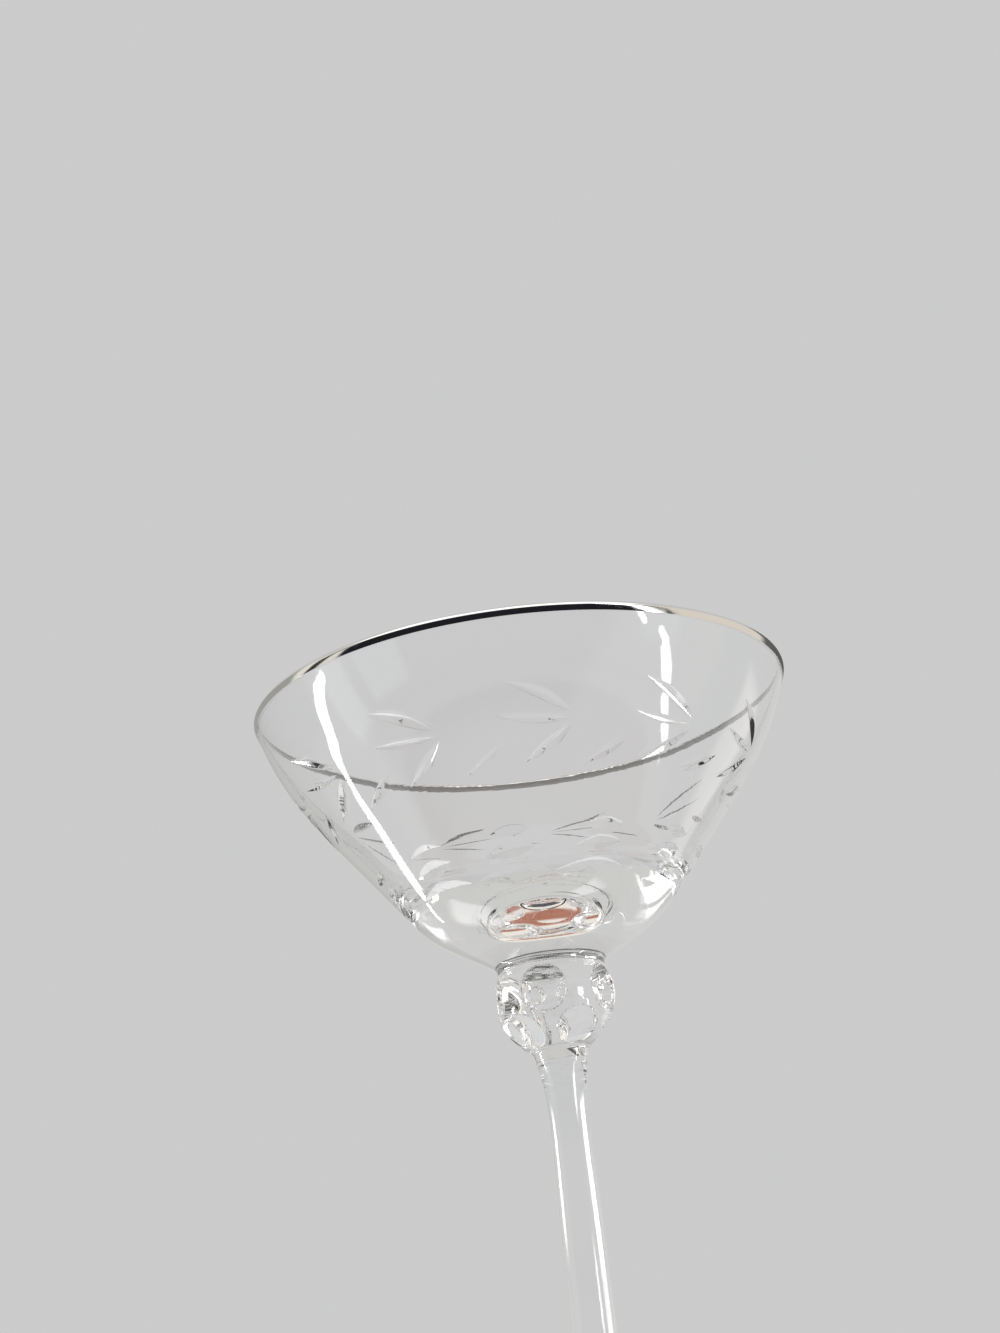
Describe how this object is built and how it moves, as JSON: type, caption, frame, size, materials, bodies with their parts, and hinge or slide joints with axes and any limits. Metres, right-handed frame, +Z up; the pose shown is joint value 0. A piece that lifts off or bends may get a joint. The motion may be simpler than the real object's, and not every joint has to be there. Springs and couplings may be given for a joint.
{
  "type": "coupe glass",
  "caption": "Clear crystal coupe glass with a thin conical bowl, a metal rim band, a ball knop cut with round hollows, a drawn stem and a round foot.",
  "frame": {"origin": "centre of the foot's underside, on the plane of the ring that it stands on", "axes": "+Z up along the glass's axis, -Y towards the viewer of the picture"},
  "size_m": [0.0954, 0.0954, 0.1401],
  "materials": {
    "crystal": "clear polished crystal",
    "platinum_band": "fired platinum, bright"
  },
  "bodies": {
    "root": {"bowl": "crystal", "rim_band": "platinum_band", "knop": "crystal", "stem": "crystal", "foot": "crystal"}
  },
  "joints": []
}
